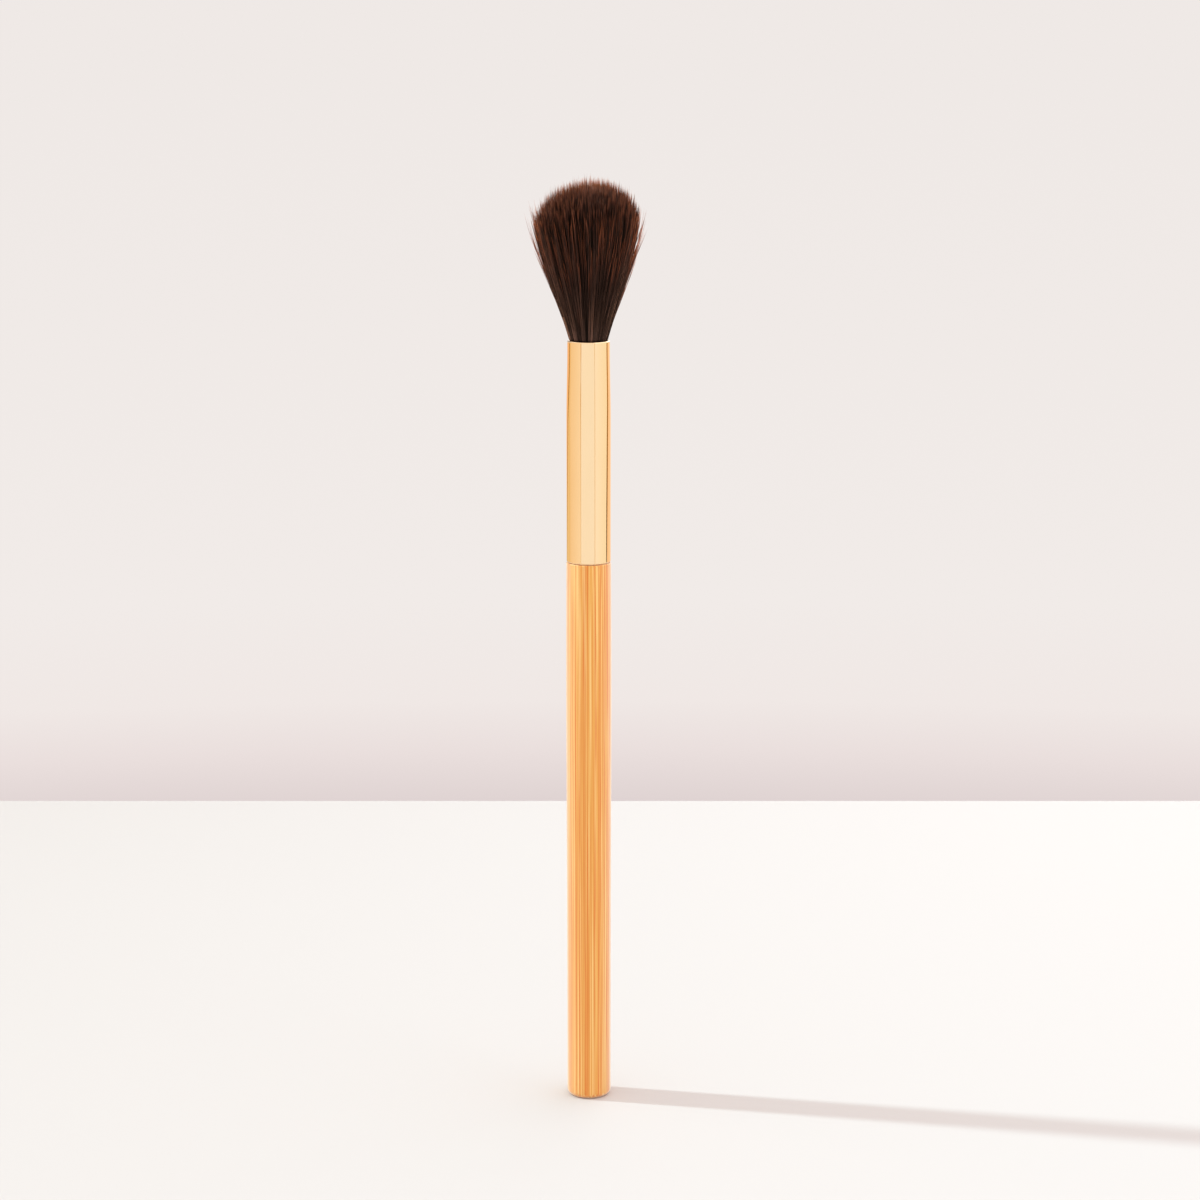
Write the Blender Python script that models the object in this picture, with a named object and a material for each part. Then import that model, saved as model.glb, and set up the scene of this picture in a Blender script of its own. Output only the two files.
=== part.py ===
# Highlighter brush: a turned bamboo handle, a drawn metal ferrule and a domed tuft of
# tapered filaments. Metres, +Z up. The brush stands on its butt, with the origin in the
# middle of the butt face, and every piece is centred on the Z axis.

import math

import bmesh
import bpy
import numpy as np

# Handle: bamboo turned to a slim, nearly straight stick that is fullest at three quarters
HANDLE_LENGTH = 0.1070
BUTT_RADIUS = 0.00426
SHOULDER_RADIUS = 0.00428
HANDLE_SWELL = 0.0001
SWELL_LEAN = 2.4
BUTT_ROUNDING = 0.0011
SHOULDER_ROUNDING = 0.0002
HANDLE_STATIONS = 18

# Tenon: the reduced end of the handle, glued into the ferrule
TENON_LENGTH = 0.0160
TENON_GLUE_FILM = 0.0001
TENON_CHAMFER = 0.0008
GROOVE_COUNT = 3
GROOVE_WIDTH = 0.0012
GROOVE_DEPTH = 0.0004

# Ferrule: one drawn tube, cylindrical over the tenon and drawn in towards its mouth
FERRULE_LENGTH = 0.0426
FERRULE_RADIUS = 0.004225
MOUTH_RADIUS = 0.00403
FERRULE_WALL = 0.00035
MOUTH_LAND = 0.0012
TAPER_LENGTH = 0.0138
TAPER_STATIONS = 10
LIP_RADIUS = 0.0002

# Tuft: filaments that flare from the mouth to a belly and end on a dome
TUFT_HEIGHT = 0.0304
BELLY_HEIGHT = 0.0222
BELLY_RADIUS = 0.0103
FLARE_SLOPE = 0.33
BELLY_SLOPE = 0.09
DOME_POWER = 2.0
STRAND_COUNT = 330
STRAND_SIDES = 3
STRAND_SCATTER = 0.0005
STRAND_SINK = 0.0003
STRAND_SEED = 7
# Where a strand's rings lie along it, and its half width there as a share of the spacing
RING_SHARES = (0.45, 0.88)
MOUTH_GIRTH_SHARE = 0.36
RING_GIRTH_SHARES = (0.40, 0.34)

# Roots: the packed end of the filaments, bound with thread at a waist
ROOT_LENGTH = 0.0124
ROOT_END_LENGTH = 0.0028
ROOT_END_RADIUS = 0.0029
WAIST_DEPTH = 0.0060
WAIST_SLOPE_LENGTH = 0.0004

# Binding thread, wound round the waist in one open helix
THREAD_RADIUS = 0.00022
THREAD_PITCH = 0.00092
THREAD_TURNS = 4
LOOP_POINTS = 24

# Root plug: the cast resin cup that locks the roots in the ferrule
PLUG_FLOOR = 0.0020
PLUG_ROUNDING = 0.0003

# Clearances: between matched turned faces, and between end faces that seat on each other
FIT_GAP = 0.00006
SEAT_GAP = 0.0001

# All turned pieces share one number of facets, so that small clearances hold all round
FACETS = 48
ARC_STEPS = 5
GAP_LEVELS = 40
SHARP_ANGLE = math.radians(35)
FLAT_ANGLE = math.radians(0.05)
MERGE_DISTANCE = 0.000002

GOLDEN_ANGLE = math.pi * (3 - math.sqrt(5))
FULL_TURN = 2 * math.pi


# Helpers

def linear(hex_colour):
    """An sRGB hex colour as linear red, green and blue."""
    shares = [int(hex_colour[i : i + 2], 16) / 255 for i in (1, 3, 5)]
    return [s / 12.92 if s <= 0.04045 else ((s + 0.055) / 1.055) ** 2.4 for s in shares]


def finish(name, hex_colour, roughness, metallic=0.0):
    """A plain Principled material."""
    material = bpy.data.materials.new(name)
    material.use_nodes = True
    shader = material.node_tree.nodes["Principled BSDF"]
    shader.inputs["Base Color"].default_value = (*linear(hex_colour), 1)
    shader.inputs["Roughness"].default_value = roughness
    shader.inputs["Metallic"].default_value = metallic
    return material


def placed(name, data, material, parent, height):
    """A named object with its own material, at a height on its parent's axis."""
    obj = bpy.data.objects.new(name, data)
    data.materials.append(material)
    obj.parent = parent
    obj.location.z = height
    bpy.context.scene.collection.objects.link(obj)
    return obj


def turned(name, outline, material, parent, height, closed=False):
    """A solid turned round Z from an outline of (radius, height) points.

    An open outline starts and ends on the axis. A closed one makes a ring or a tube.
    """
    shape = bmesh.new()
    points = [shape.verts.new((radius, 0, z)) for radius, z in outline]
    pairs = list(zip(points, points[1:]))
    if closed:
        pairs.append((points[-1], points[0]))
    edges = [shape.edges.new(pair) for pair in pairs]
    bmesh.ops.spin(
        shape,
        geom=points + edges,
        cent=(0, 0, 0),
        axis=(0, 0, 1),
        angle=FULL_TURN,
        steps=FACETS,
        use_merge=True,
    )
    bmesh.ops.remove_doubles(shape, verts=shape.verts, dist=MERGE_DISTANCE)
    shape.normal_update()
    bmesh.ops.recalc_face_normals(shape, faces=shape.faces)
    shape.normal_update()
    bmesh.ops.dissolve_limit(
        shape, angle_limit=FLAT_ANGLE, verts=shape.verts, edges=shape.edges
    )
    mesh = bpy.data.meshes.new(name)
    shape.to_mesh(mesh)
    shape.free()
    mesh.shade_smooth()
    mesh.set_sharp_from_angle(angle=SHARP_ANGLE)
    return placed(name, mesh, material, parent, height)


def arc(radius, height, size, start, end):
    """Outline points along an arc round (radius, height), from one angle to another."""
    angles = [start + (end - start) * step / ARC_STEPS for step in range(ARC_STEPS + 1)]
    return [(radius + size * math.cos(a), height + size * math.sin(a)) for a in angles]


def steps_between(low, high, count):
    """Evenly spaced values, both ends included."""
    return [low + (high - low) * step / count for step in range(count + 1)]


# Handle and ferrule forms that other pieces seat on

def handle_radius(height):
    """The handle's radius at a height above the butt."""
    share = height / HANDLE_LENGTH
    taper = BUTT_RADIUS + (SHOULDER_RADIUS - BUTT_RADIUS) * share
    return taper + HANDLE_SWELL * math.sin(math.pi * share**SWELL_LEAN)


def ferrule_radius(height):
    """The ferrule's outer radius at a height above its lower rim."""
    share = (FERRULE_LENGTH - MOUTH_LAND - height) / TAPER_LENGTH
    share = min(max(share, 0.0), 1.0)
    swell = share * share * (3 - 2 * share)
    return MOUTH_RADIUS + (FERRULE_RADIUS - MOUTH_RADIUS) * swell


def bore_radius(height):
    """The ferrule's inner radius at a height above its lower rim."""
    return ferrule_radius(height) - FERRULE_WALL


TENON_RADIUS = FERRULE_RADIUS - FERRULE_WALL - TENON_GLUE_FILM
GROOVE_RADIUS = TENON_RADIUS - GROOVE_DEPTH


def groove_middle(number):
    """Height of a glue groove's middle above the shoulder."""
    return TENON_LENGTH * (number + 1) / (GROOVE_COUNT + 1)


def make_handle(parent):
    low = BUTT_ROUNDING
    high = HANDLE_LENGTH - SHOULDER_ROUNDING
    outline = [(0, 0)]
    outline += arc(handle_radius(low) - BUTT_ROUNDING, low, BUTT_ROUNDING, -math.pi / 2, 0)
    outline += [(handle_radius(z), z) for z in steps_between(low, high, HANDLE_STATIONS)[1:-1]]
    outline += arc(handle_radius(high) - SHOULDER_ROUNDING, high, SHOULDER_ROUNDING, 0, math.pi / 2)
    outline.append((TENON_RADIUS, HANDLE_LENGTH))
    for number in range(GROOVE_COUNT):
        middle = HANDLE_LENGTH + groove_middle(number)
        lower = middle - GROOVE_WIDTH / 2
        upper = middle + GROOVE_WIDTH / 2
        outline += [(TENON_RADIUS, lower), (GROOVE_RADIUS, lower)]
        outline += [(GROOVE_RADIUS, upper), (TENON_RADIUS, upper)]
    end = HANDLE_LENGTH + TENON_LENGTH
    outline += [(TENON_RADIUS, end - TENON_CHAMFER), (TENON_RADIUS - TENON_CHAMFER, end), (0, end)]
    bamboo = finish("turned bamboo", "#F0B069", 0.45)
    return turned("handle", outline, bamboo, parent, 0)


def make_glue_rings(handle):
    """The adhesive that fills each groove of the tenon, out to the ferrule's bore."""
    inner = GROOVE_RADIUS + FIT_GAP
    outer = FERRULE_RADIUS - FERRULE_WALL - FIT_GAP
    half = GROOVE_WIDTH / 2 - FIT_GAP
    glue = finish("set adhesive", "#E6D9B8", 0.3)
    for number in range(GROOVE_COUNT):
        outline = [(inner, half), (outer, half), (outer, -half), (inner, -half)]
        height = HANDLE_LENGTH + groove_middle(number)
        turned(f"glue_ring_{number + 1}", outline, glue, handle, height, closed=True)


def make_ferrule(handle):
    """A tube with a rounded lower edge and a small bead turned in at its mouth."""
    edge = FERRULE_WALL / 2
    lip_height = FERRULE_LENGTH - LIP_RADIUS
    # The bead runs on past its innermost point until it meets the wall's inner face.
    lip_end = FULL_TURN - math.acos((LIP_RADIUS - FERRULE_WALL) / LIP_RADIUS)
    taper_low = FERRULE_LENGTH - MOUTH_LAND - TAPER_LENGTH
    taper_high = FERRULE_LENGTH - MOUTH_LAND
    heights = steps_between(taper_low, taper_high, TAPER_STATIONS)
    outline = arc(FERRULE_RADIUS - edge, edge, edge, -math.pi, 0)
    outline += [(ferrule_radius(z), z) for z in heights]
    outline += arc(MOUTH_RADIUS - LIP_RADIUS, lip_height, LIP_RADIUS, 0, lip_end)
    outline += [(bore_radius(z), z) for z in reversed(heights)]
    gold = finish("polished gold metal", "#F6C684", 0.12, metallic=1.0)
    return turned("ferrule", outline, gold, handle, HANDLE_LENGTH + SEAT_GAP, closed=True)


# Roots, measured from the ferrule's mouth

NECK_RADIUS = MOUTH_RADIUS - 2 * LIP_RADIUS - FIT_GAP
ROOT_TOP_DEPTH = 2 * LIP_RADIUS + 2 * SEAT_GAP
ROOT_BOTTOM = -ROOT_TOP_DEPTH - ROOT_LENGTH
ROOT_END_TOP = ROOT_BOTTOM + ROOT_END_LENGTH
COIL_RADIUS = bore_radius(FERRULE_LENGTH - WAIST_DEPTH) - 2 * FIT_GAP - THREAD_RADIUS
WAIST_RADIUS = COIL_RADIUS - THREAD_RADIUS - FIT_GAP
WAIST_HALF = THREAD_TURNS * THREAD_PITCH / 2 + 2 * THREAD_RADIUS


def root_radius(height):
    """Radius of the packed roots, which fill the bore, at a height from the mouth."""
    return bore_radius(FERRULE_LENGTH + height) - FIT_GAP


def root_outline():
    """The packed roots from their top face down: waist, body and the reduced end."""
    waist_top = WAIST_HALF - WAIST_DEPTH
    waist_bottom = -WAIST_HALF - WAIST_DEPTH
    above = waist_top + WAIST_SLOPE_LENGTH
    below = waist_bottom - WAIST_SLOPE_LENGTH
    outline = [(0, -ROOT_TOP_DEPTH), (root_radius(-ROOT_TOP_DEPTH), -ROOT_TOP_DEPTH)]
    outline += [(root_radius(above), above), (WAIST_RADIUS, waist_top)]
    outline += [(WAIST_RADIUS, waist_bottom), (root_radius(below), below)]
    outline += [(root_radius(ROOT_END_TOP), ROOT_END_TOP), (ROOT_END_RADIUS, ROOT_END_TOP)]
    outline += [(ROOT_END_RADIUS, ROOT_BOTTOM), (0, ROOT_BOTTOM)]
    return outline


def make_root_plug(ferrule):
    """Resin cast round the reduced end of the roots, down to a rounded floor."""
    inner = ROOT_END_RADIUS + FIT_GAP
    top = ROOT_END_TOP - SEAT_GAP
    cup = ROOT_BOTTOM - SEAT_GAP
    floor = cup - PLUG_FLOOR
    low = floor + PLUG_ROUNDING
    outline = [(0, cup), (inner, cup), (inner, top), (root_radius(top), top)]
    outline += [(root_radius(cup), cup)]
    outline += arc(root_radius(low) - PLUG_ROUNDING, low, PLUG_ROUNDING, 0, -math.pi / 2)
    outline += [(0, floor)]
    resin = finish("cast resin", "#C9A063", 0.2)
    return turned("root_plug", outline, resin, ferrule, FERRULE_LENGTH)


def make_binding_thread(ferrule):
    """One helix of thread round the waist, each end straight for a thread's width."""
    count = THREAD_TURNS * LOOP_POINTS
    angles = [FULL_TURN * step / LOOP_POINTS for step in range(count + 1)]
    start = -WAIST_DEPTH - THREAD_TURNS * THREAD_PITCH / 2
    points = np.array(
        [
            (COIL_RADIUS * math.cos(a), COIL_RADIUS * math.sin(a), start + THREAD_PITCH * a / FULL_TURN)
            for a in angles
        ]
    )
    ends = []
    for point, angle, way in ((points[0], angles[0], -1), (points[-1], angles[-1], 1)):
        tangent = np.array([-math.sin(angle), math.cos(angle), 0])
        ends.append(point + 2 * THREAD_RADIUS * way * tangent)
    points = np.vstack([ends[0], points, ends[1]])
    report_thread_gap(points)
    curve = bpy.data.curves.new("binding_thread", "CURVE")
    curve.dimensions = "3D"
    spline = curve.splines.new("POLY")
    spline.points.add(len(points) - 1)
    for target, point in zip(spline.points, points):
        target.co = (*point, 1)
    curve.bevel_depth = THREAD_RADIUS
    curve.bevel_resolution = 1
    curve.use_fill_caps = True
    cotton = finish("cotton thread", "#EDE6D6", 0.9)
    return placed("binding_thread", curve, cotton, ferrule, FERRULE_LENGTH)


def report_thread_gap(points):
    """Prints the least gap between points of the thread half a loop or more apart."""
    apart = np.linalg.norm(points[:, None] - points[None], axis=2)
    far = np.abs(np.subtract.outer(np.arange(len(points)), np.arange(len(points))))
    gap = apart[far >= LOOP_POINTS // 2].min() - 2 * THREAD_RADIUS
    print(f"binding_thread: least gap to itself {gap * 1000:.2f} mm")


# Tuft form, measured from the ferrule's mouth

def flank_radius(height):
    """Radius of the tuft's outside: straight in the mouth, then flaring to the belly."""
    s = min(max(height / BELLY_HEIGHT, 0.0), 1.0)
    rise = BELLY_HEIGHT * (FLARE_SLOPE * s * (1 - s) ** 2 - BELLY_SLOPE * s * s * (1 - s))
    blend = s * s * (3 - 2 * s)
    return NECK_RADIUS + (BELLY_RADIUS - NECK_RADIUS) * blend + rise


def dome_height(share):
    """Height where a filament ends, by its share of the way from the axis outwards."""
    dome = TUFT_HEIGHT - BELLY_HEIGHT
    return BELLY_HEIGHT + dome * (1 - share**DOME_POWER) ** (1 / DOME_POWER)


def strand_spacing(height):
    """Distance between neighbouring strands at a height."""
    return flank_radius(height) * math.sqrt(math.pi / STRAND_COUNT)


def strand_stations(number, scatter):
    """A strand's rings as (centre, half width), root first, and last its pointed tip.

    Strands are dealt out from the axis by the golden angle. All of them keep their share
    of the way out to the flank as it widens, so none crosses another.
    """
    share = math.sqrt((number + 0.5) / STRAND_COUNT)
    angle = number * GOLDEN_ANGLE
    tip = dome_height(share) - scatter
    heights = [0] + [tip * ring for ring in RING_SHARES] + [tip]
    girths = [MOUTH_GIRTH_SHARE, *RING_GIRTH_SHARES, 0]
    stations = []
    for height, girth in zip(heights, girths):
        half_width = girth * strand_spacing(height)
        reach = share * (flank_radius(height) - half_width)
        centre = np.array([reach * math.cos(angle), reach * math.sin(angle), height])
        stations.append((centre, half_width))
    # The root lies on the first run's line, carried down through the mouth into the roots.
    (mouth, girth), (above, _) = stations[:2]
    sink = (ROOT_TOP_DEPTH + STRAND_SINK) / heights[1]
    return [(mouth - (above - mouth) * sink, girth)] + stations[1:]


def report_strand_gap(strands):
    """Prints the least gap between two strands, each taken as round, at even heights."""
    least = math.inf
    for height in steps_between(0, TUFT_HEIGHT, GAP_LEVELS):
        cuts = []
        for stations in strands:
            for (low, low_width), (high, high_width) in zip(stations, stations[1:]):
                if low[2] <= height < high[2]:
                    way = (height - low[2]) / (high[2] - low[2])
                    centre = low + way * (high - low)
                    cuts.append((centre[0], centre[1], low_width + way * (high_width - low_width)))
        if len(cuts) > 1:
            x, y, half_width = np.array(cuts).T
            apart = np.hypot(np.subtract.outer(x, x), np.subtract.outer(y, y))
            apart -= np.add.outer(half_width, half_width)
            np.fill_diagonal(apart, math.inf)
            least = min(least, apart.min())
    print(f"bristle_tuft: least gap between strands {least * 1000:.3f} mm")


def strand_mesh():
    """All strands as closed, tapered, three-sided spikes in one mesh."""
    rng = np.random.default_rng(STRAND_SEED)
    shape = bmesh.new()
    strands = []
    for number in range(STRAND_COUNT):
        stations = strand_stations(number, STRAND_SCATTER * rng.random())
        strands.append(stations)
        turn = FULL_TURN * rng.random()
        rings = []
        for centre, half_width in stations[:-1]:
            corners = [turn + FULL_TURN * side / STRAND_SIDES for side in range(STRAND_SIDES)]
            rings.append(
                [
                    shape.verts.new(centre + half_width * np.array([math.cos(c), math.sin(c), 0]))
                    for c in corners
                ]
            )
        tip = shape.verts.new(stations[-1][0])
        shape.faces.new(reversed(rings[0]))
        for lower, upper in zip(rings, rings[1:]):
            for side in range(STRAND_SIDES):
                after = (side + 1) % STRAND_SIDES
                shape.faces.new((lower[side], lower[after], upper[after], upper[side]))
        for side in range(STRAND_SIDES):
            shape.faces.new((rings[-1][side], rings[-1][(side + 1) % STRAND_SIDES], tip))
    report_strand_gap(strands)
    mesh = bpy.data.meshes.new("strands")
    shape.to_mesh(mesh)
    shape.free()
    return mesh


def make_bristle_tuft(ferrule):
    """The packed roots, with every strand fused to their top face."""
    filament = finish("brown filament", "#3E241B", 0.5)
    tuft = turned("bristle_tuft", root_outline(), filament, ferrule, FERRULE_LENGTH)
    strands = placed("strand_guide", strand_mesh(), filament, ferrule, FERRULE_LENGTH)
    strands.hide_render = True
    strands.display_type = "WIRE"
    fuse = tuft.modifiers.new("fuse strands", "BOOLEAN")
    fuse.operation = "UNION"
    fuse.solver = "EXACT"
    fuse.object = strands
    return tuft


def build():
    for obj in list(bpy.data.objects):
        bpy.data.objects.remove(obj)
    stand = bpy.data.objects.new("brush_axis", None)
    bpy.context.scene.collection.objects.link(stand)
    handle = make_handle(stand)
    make_glue_rings(handle)
    ferrule = make_ferrule(handle)
    make_root_plug(ferrule)
    make_binding_thread(ferrule)
    make_bristle_tuft(ferrule)


build()
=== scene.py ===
import math

import bpy
import mathutils
import numpy as np
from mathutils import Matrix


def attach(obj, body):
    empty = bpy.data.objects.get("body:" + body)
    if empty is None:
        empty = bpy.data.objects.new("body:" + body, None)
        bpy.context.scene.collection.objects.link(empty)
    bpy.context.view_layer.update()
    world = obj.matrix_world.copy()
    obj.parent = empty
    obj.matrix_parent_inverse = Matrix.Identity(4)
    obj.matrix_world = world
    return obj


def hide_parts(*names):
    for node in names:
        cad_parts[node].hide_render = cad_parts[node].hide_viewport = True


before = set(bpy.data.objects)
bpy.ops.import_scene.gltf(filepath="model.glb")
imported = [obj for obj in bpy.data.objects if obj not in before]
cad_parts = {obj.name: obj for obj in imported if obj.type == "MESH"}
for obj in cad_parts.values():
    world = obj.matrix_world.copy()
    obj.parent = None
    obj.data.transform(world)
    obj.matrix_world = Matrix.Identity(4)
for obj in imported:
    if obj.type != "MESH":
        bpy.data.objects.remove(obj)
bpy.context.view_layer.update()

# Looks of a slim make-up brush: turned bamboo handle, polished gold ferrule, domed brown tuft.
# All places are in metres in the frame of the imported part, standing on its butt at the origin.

scene = bpy.context.scene


def linearColour(hexText):
    shares = [int(hexText[i:i + 2], 16) / 255 for i in (1, 3, 5)]
    return [s / 12.92 if s <= 0.04045 else ((s + 0.055) / 1.055) ** 2.4 for s in shares] + [1.0]


# A Mix node's sockets go by number here: 0 is the factor, 6 and 7 the two colours, 2 the colour that
# comes out. A Math node's two values are 0 and 1.

def addNode(tree, kind, inputs=None, links=None, **settings):
    node = tree.nodes.new(kind)
    for name, value in settings.items():
        setattr(node, name, value)
    for name, value in (inputs or {}).items():
        node.inputs[name].default_value = value
    for name, socket in (links or {}).items():
        tree.links.new(socket, node.inputs[name])
    return node


def addRamp(tree, factor, stops):
    ramp = addNode(tree, "ShaderNodeValToRGB", links={"Fac": factor})
    points = ramp.color_ramp.elements
    while len(points) < len(stops):
        points.new(1.0)
    for point, (place, colour) in zip(points, stops):
        point.position = place
        point.color = linearColour(colour)
    return ramp.outputs["Color"]


def newMaterial(name):
    material = bpy.data.materials.new(name)
    material.use_nodes = True
    return material, material.node_tree, material.node_tree.nodes["Principled BSDF"]


def setSurface(shader, **values):
    for name, value in values.items():
        shader.inputs[name.replace("_", " ")].default_value = value


# Camera

cameraView = {
    "lens": 96, "sensor": 36,       # mm
    "pitch": 11.0,                  # degrees down from level
    "place": (0.00217, -0.6049, 0.21711),
    "clipStart": 0.01,
}


def setCamera():
    turn = (math.radians(90 - cameraView["pitch"]), 0, 0)
    bpy.ops.object.camera_add(location=cameraView["place"], rotation=turn)
    camera = bpy.context.object
    camera.data.lens = cameraView["lens"]
    camera.data.sensor_width = cameraView["sensor"]
    camera.data.clip_start = cameraView["clipStart"]
    scene.camera = camera


# Stage: a pale table in front of a pale wall, which is the world's own colour, even but for painted shade
# that darkens it just above the table's edge

stageLook = {
    "tableColour": "#CFC7C3",
    "tableEdge": 0.229,             # the table ends here, behind the brush
    "tableReach": 1.1,
    "wallAndShadeByHeight": [               # sine of the angle above the horizon, colour; the darker first stops are painted shade where the wall meets the table
        (-0.252, "#DFD3D2"), (-0.2365, "#EADFDD"), (-0.2214, "#F0E8E5"),
        (-0.19, "#F1EBE8"), (-0.03, "#EFE9E6"), (0.25, "#F0E9E6"),
    ],
    "wallReach": 0.26,              # all of the wall's colours lie between minus this sine and this sine
    "overheadFrom": 0.15,           # sines between which the room brightens towards the ceiling
    "overheadTo": 0.45,
    "overheadGain": 1.35,           # the ceiling glows this much more, which lights the ferrule's upper lip
}


def buildStage():
    s = stageLook
    bpy.ops.mesh.primitive_plane_add(size=1, location=(0, 0, 0))
    table = bpy.context.object
    table.name = "paleTable"
    for corner in table.data.vertices:
        corner.co.x *= 2 * s["tableReach"]
        corner.co.y = s["tableEdge"] if corner.co.y > 0 else -s["tableReach"]
    # board under flat emulsion paint: even, with hardly any gloss
    paint, tree, shader = newMaterial("matt painted board")
    setSurface(shader, Base_Color=linearColour(s["tableColour"]), Roughness=0.75, Specular_IOR_Level=0.15)
    table.data.materials.append(paint)

    world = bpy.data.worlds.new("pale room")
    scene.world = world
    world.use_nodes = True
    tree = world.node_tree
    back = tree.nodes["Background"]
    place = addNode(tree, "ShaderNodeTexCoord")
    height = addNode(tree, "ShaderNodeSeparateXYZ", links={"Vector": place.outputs["Generated"]}).outputs["Z"]
    reach = s["wallReach"]
    share = addNode(tree, "ShaderNodeMapRange", {"From Min": -reach, "From Max": reach}, {"Value": height})
    # the wall's colours, with the painted shade just above the table's edge
    stops = [((z + reach) / (2 * reach), colour) for z, colour in s["wallAndShadeByHeight"]]
    tree.links.new(addRamp(tree, share.outputs["Result"], stops), back.inputs["Color"])
    gain = addNode(tree, "ShaderNodeMapRange", {
        "From Min": s["overheadFrom"], "From Max": s["overheadTo"],
        "To Min": 1.0, "To Max": s["overheadGain"],
    }, {"Value": height})
    tree.links.new(gain.outputs["Result"], back.inputs["Strength"])


# Lights: a tent of soft panels that the metal shows as bands, with a softbox and two rim lights
# above what it mirrors, one small far lamp for the shadow, and two small lights behind the tuft.
# An azimuth is in degrees: 0 is towards the camera, + is to its right.

tentPanels = {
    # azimuths of the two ends, colour at each, strength, heights of the foot and the head
    "leftPanel": ((-112, -44.0), ("#F8E4C2", "#FFF8E9"), 1.04, (0.001, 0.15)),
    "frontPanel": ((-39.0, 31.5), ("#F4FAFF", "#F4FAFF"), 1.14, (0.001, 0.32)),
    "rightPanel": ((34.5, 106), ("#F7FBFF", "#F3F4E7"), 1.16, (0.001, 0.15)),
    # above what the ferrule mirrors, for the tuft and the table
    "rightUpper": ((34.5, 120), ("#F4F8FF", "#F4F8FF"), 1.6, (0.15, 0.37)),
    "rightSoftbox": ((45, 127), ("#F2F8FA", "#F2F8FA"), 1.9, (0.37, 1.30)),
    "leftRim": ((-172, -122), ("#F4F8FF", "#F4F8FF"), 0.5, (0.13, 0.50)),
    "rightRim": ((122, 172), ("#F4F8FF", "#F4F8FF"), 2.4, (0.13, 0.50)),
}
edgeStrips = {
    # azimuths of the foot's two ends and of the head's, colour at the foot and at the head, strength
    # the tent's two open corners, and the warm sides of the room behind them
    "leftStrip": ((-167.5, -158.5), (-129, -120), ("#C49A50", "#B8842E"), 1.0),
    "rightStrip": ((102.1, 111.1), (115.6, 127.6), ("#5E4414", "#C48C36"), 1.0),
    "leftSide": ((-178, -167.7), (-178, -129.2), ("#FFDDB4", "#FFD2A0"), 1.0),
    "rightSide": ((111.3, 178), (127.8, 178), ("#FFE2C2", "#FFE2C2"), 1.1),
    "leftWing": ((-158.3, -112.2), (-119.8, -112.2), ("#F4DEB0", "#F4DAA4"), 1.0),
    "rightWing": ((101.0, 102.0), (105.8, 115.5), ("#F3F4E7", "#F3F4E7"), 1.16),
    # the dark seams between the tent's panels
    "leftSeam": ((-43.8, -40.0), (-43.8, -40.0), ("#FFF6DC", "#E4BC84"), 1.0),
    "rightSeam": ((31.7, 34.3), (31.7, 34.3), ("#F0D6A8", "#F0D6A8"), 1.0),
}
tentSizes = {"distance": 0.55, "stripSpan": (0.001, 0.095)}
lamp = {"azimuth": -102.0, "height": 40.0, "strength": 2.05, "angle": 2.6, "colour": "#D7F8FF"}
hairLights = {
    "azimuths": (-120, 120), "height": 0.166, "distance": 0.5,
    "target": 0.166,                # height on the brush's axis that both aim at
    "spread": 5.4, "blend": 0.4, "size": 0.01, "strength": 30.0, "colour": "#FFF4DC",
}


def placeAround(azimuth, distance, height):
    turn = math.radians(azimuth)
    return mathutils.Vector((distance * math.sin(turn), -distance * math.cos(turn), height))


def standCard(name, foot, head, span, colours, strength, glowAlong):
    # a flat upright card, its corners given by azimuth, that glows from one colour to another
    bpy.ops.mesh.primitive_plane_add(size=1)
    card = bpy.context.object
    card.name = name
    for corner in card.data.vertices:
        row = 0 if corner.co.y < 0 else 1
        azimuth = (foot, head)[row][0 if corner.co.x < 0 else 1]
        corner.co = placeAround(azimuth, tentSizes["distance"], span[row])
    # white diffusing cloth, lit from behind
    glow, tree, shader = newMaterial(name + " diffuser")
    place = addNode(tree, "ShaderNodeTexCoord")
    split = addNode(tree, "ShaderNodeSeparateXYZ", links={"Vector": place.outputs["UV"]})
    colour = addRamp(tree, split.outputs[glowAlong], [(0.0, colours[0]), (1.0, colours[1])])
    tree.links.new(colour, shader.inputs["Emission Color"])
    setSurface(shader, Base_Color=(0, 0, 0, 1), Emission_Strength=strength, Specular_IOR_Level=0.0)
    card.data.materials.append(glow)
    card.visible_camera = False
    card.visible_shadow = False


def buildLights():
    for name, (ends, colours, strength, span) in tentPanels.items():
        standCard(name, ends, ends, span, colours, strength, "X")
    for name, (foot, head, colours, strength) in edgeStrips.items():
        standCard(name, foot, head, tentSizes["stripSpan"], colours, strength, "Y")
    turn, rise = math.radians(lamp["azimuth"]), math.radians(lamp["height"])
    bpy.ops.object.light_add(type="SUN", rotation=(math.pi / 2 - rise, 0, turn))
    sun = bpy.context.object
    sun.data.energy = lamp["strength"]
    sun.data.angle = math.radians(lamp["angle"])
    sun.data.color = linearColour(lamp["colour"])[:3]
    # a small warm light behind each shoulder of the tuft, which edges its sides
    for azimuth in hairLights["azimuths"]:
        place = placeAround(azimuth, hairLights["distance"], hairLights["height"])
        aim = (mathutils.Vector((0, 0, hairLights["target"])) - place).to_track_quat("-Z", "Y")
        bpy.ops.object.light_add(type="SPOT", location=place, rotation=aim.to_euler())
        spot = bpy.context.object
        spot.data.energy = hairLights["strength"]
        spot.data.color = linearColour(hairLights["colour"])[:3]
        spot.data.spot_size = math.radians(hairLights["spread"])
        spot.data.spot_blend = hairLights["blend"]
        spot.data.shadow_soft_size = hairLights["size"]
        spot.visible_glossy = False


setCamera()
buildStage()
buildLights()
scene.view_settings.view_transform = "Standard"
print("stage, camera and lights are up")


# Turned pieces: a ring of edges is added and drawn up its outline, one extrusion a step

turning = {"mergeDistance": 0.000002, "creaseAngle": 35}


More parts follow.
